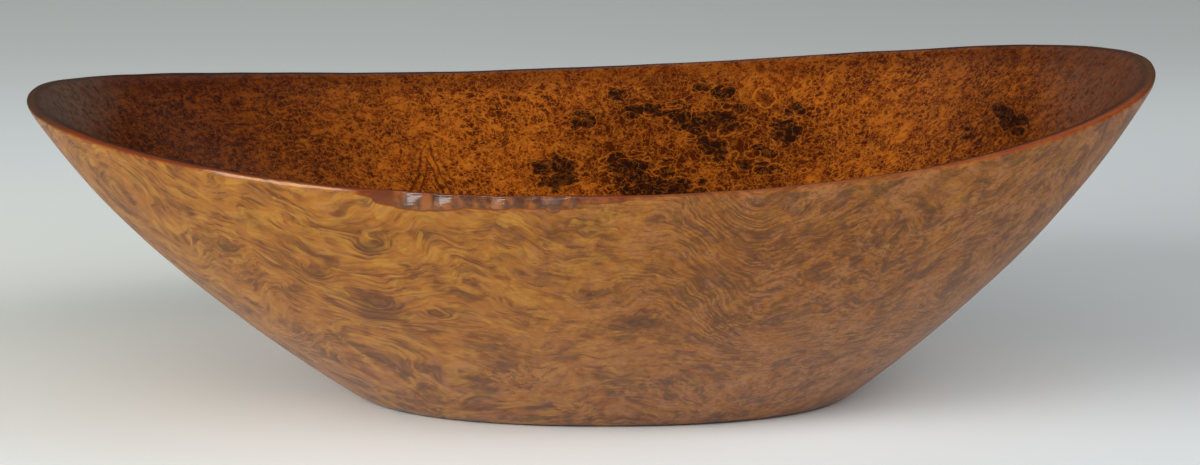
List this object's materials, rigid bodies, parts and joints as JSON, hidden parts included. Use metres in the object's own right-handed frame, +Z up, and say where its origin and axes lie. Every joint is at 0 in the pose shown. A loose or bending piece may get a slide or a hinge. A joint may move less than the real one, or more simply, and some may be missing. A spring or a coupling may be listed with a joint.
{
  "type": "carved bowl",
  "caption": "Oval bowl carved from one block of burl wood, with a flat oval foot, flaring walls, ends that sweep up and old wear on its front rim.",
  "frame": {"origin": "on the surface the bowl stands on, under the middle of the rim's length and width", "axes": "+X along the bowl towards its higher end, -Y towards the side with the worn rim, +Z up out of the hollow"},
  "size_m": [0.4001, 0.3112, 0.1191],
  "materials": {
    "burl": "satin"
  },
  "bodies": {
    "root": {"bowl": "burl"}
  },
  "joints": []
}
